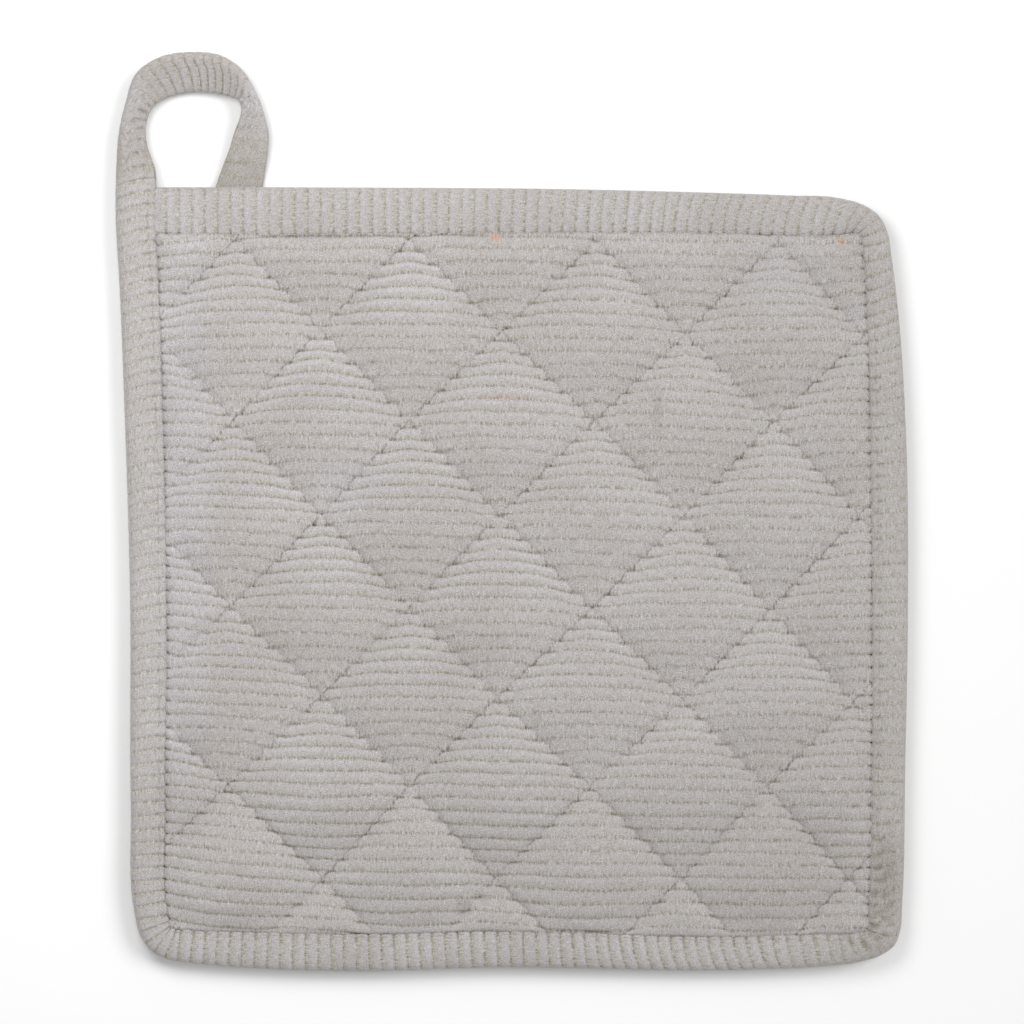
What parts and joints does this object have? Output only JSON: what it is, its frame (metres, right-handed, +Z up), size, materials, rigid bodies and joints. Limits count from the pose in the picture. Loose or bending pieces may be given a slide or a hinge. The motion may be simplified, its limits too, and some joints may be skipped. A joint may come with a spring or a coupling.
{
  "type": "quilted pot holder",
  "caption": "Square quilted corduroy pot holder with a corded edge binding and a hanging loop at one corner.",
  "frame": {"origin": "on the surface below the middle of the outline, loop included", "axes": "+Z up out of the quilted face, +Y towards the edge with the hanging loop, +X to the right of the face"},
  "size_m": [0.2027, 0.2346, 0.0089],
  "materials": {
    "panel_cloth": "wide cotton corduroy in warm light grey, quilted in diamonds",
    "binding_cloth": "the same corduroy cut across its cords into a folded strip"
  },
  "bodies": {
    "root": {"quilted_pad": "panel_cloth", "edge_binding": "binding_cloth", "hanging_loop": "binding_cloth"}
  },
  "joints": []
}
